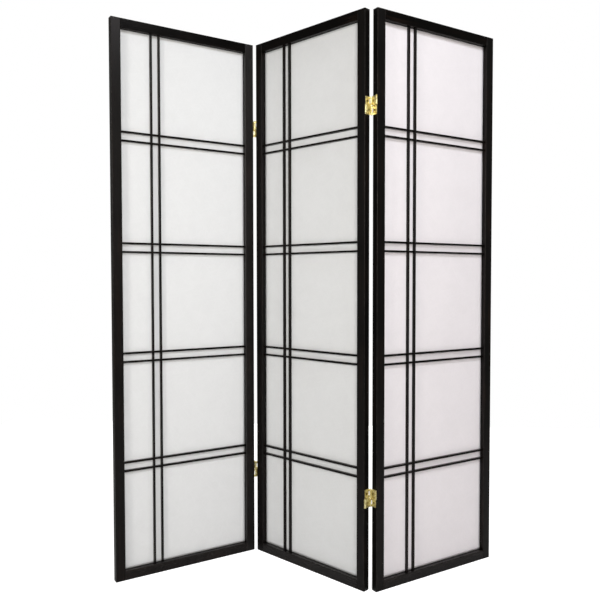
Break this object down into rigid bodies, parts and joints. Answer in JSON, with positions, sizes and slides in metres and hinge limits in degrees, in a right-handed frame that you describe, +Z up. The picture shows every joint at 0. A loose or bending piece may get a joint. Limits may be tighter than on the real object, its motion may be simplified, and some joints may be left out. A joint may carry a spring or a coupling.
{
  "type": "folding lattice room divider screen",
  "caption": "Free-standing folding room divider: hinged wooden frames with a thin bar lattice over translucent white paper, standing in a zigzag and folding flat.",
  "frame": {"origin": "on the floor, at the middle of the screen's box as it stands in its zigzag; this is also the middle of the centre panel's foot", "axes": "+Z up; +X along the row of panels from the left panel to the right one, seen from the front; -Y out of the front, the side on which the lattice is seen"},
  "size_m": [1.023, 0.283, 1.486],
  "materials": {
    "lacquer": "satin",
    "paper": "matte",
    "brass": "satin"
  },
  "bodies": {
    "panel_left": {"left_panel_stile_left": "lacquer", "left_panel_stile_right": "lacquer", "left_panel_rail_top": "lacquer", "left_panel_rail_bottom": "lacquer", "left_panel_upright_bar_1": "lacquer", "left_panel_upright_bar_2": "lacquer", "left_panel_cross_bars_1": "lacquer", "left_panel_cross_bars_2": "lacquer", "left_panel_cross_bars_3": "lacquer", "left_panel_cross_bars_4": "lacquer", "left_panel_paper": "paper", "left_panel_back_stops": "lacquer", "left_panel_hinge_pins": "brass", "left_panel_hinge_screws": "brass", "left_fold_upper_hinge_leaf_left": "brass", "left_fold_upper_hinge_link_upper": "brass", "left_fold_lower_hinge_leaf_left": "brass", "left_fold_lower_hinge_link_upper": "brass"},
    "panel_centre": {"centre_panel_stile_left": "lacquer", "centre_panel_stile_right": "lacquer", "centre_panel_rail_top": "lacquer", "centre_panel_rail_bottom": "lacquer", "centre_panel_upright_bar_1": "lacquer", "centre_panel_upright_bar_2": "lacquer", "centre_panel_cross_bars_1": "lacquer", "centre_panel_cross_bars_2": "lacquer", "centre_panel_cross_bars_3": "lacquer", "centre_panel_cross_bars_4": "lacquer", "centre_panel_paper": "paper", "centre_panel_back_stops": "lacquer", "centre_panel_hinge_pins": "brass", "centre_panel_hinge_screws": "brass", "left_fold_upper_hinge_leaf_right": "brass", "left_fold_upper_hinge_link_lower": "brass", "right_fold_upper_hinge_leaf_left": "brass", "right_fold_upper_hinge_link_lower": "brass", "left_fold_lower_hinge_leaf_right": "brass", "left_fold_lower_hinge_link_lower": "brass", "right_fold_lower_hinge_leaf_left": "brass", "right_fold_lower_hinge_link_lower": "brass"},
    "panel_right": {"right_panel_stile_left": "lacquer", "right_panel_stile_right": "lacquer", "right_panel_rail_top": "lacquer", "right_panel_rail_bottom": "lacquer", "right_panel_upright_bar_1": "lacquer", "right_panel_upright_bar_2": "lacquer", "right_panel_cross_bars_1": "lacquer", "right_panel_cross_bars_2": "lacquer", "right_panel_cross_bars_3": "lacquer", "right_panel_cross_bars_4": "lacquer", "right_panel_paper": "paper", "right_panel_back_stops": "lacquer", "right_panel_hinge_pins": "brass", "right_panel_hinge_screws": "brass", "right_fold_upper_hinge_leaf_right": "brass", "right_fold_upper_hinge_link_upper": "brass", "right_fold_lower_hinge_leaf_right": "brass", "right_fold_lower_hinge_link_upper": "brass"}
  },
  "joints": [
    {"name": "fold_left", "type": "hinge", "parent": "panel_centre", "child": "panel_left", "pos_m": [-0.17201, 0.12194, 0.743], "axis": [0, 0, 1], "range_deg": [-76.5, 103.5]},
    {"name": "fold_right", "type": "hinge", "parent": "panel_centre", "child": "panel_right", "pos_m": [0.17201, -0.12194, 0.743], "axis": [0, 0, 1], "range_deg": [-76.5, 103.5]}
  ]
}
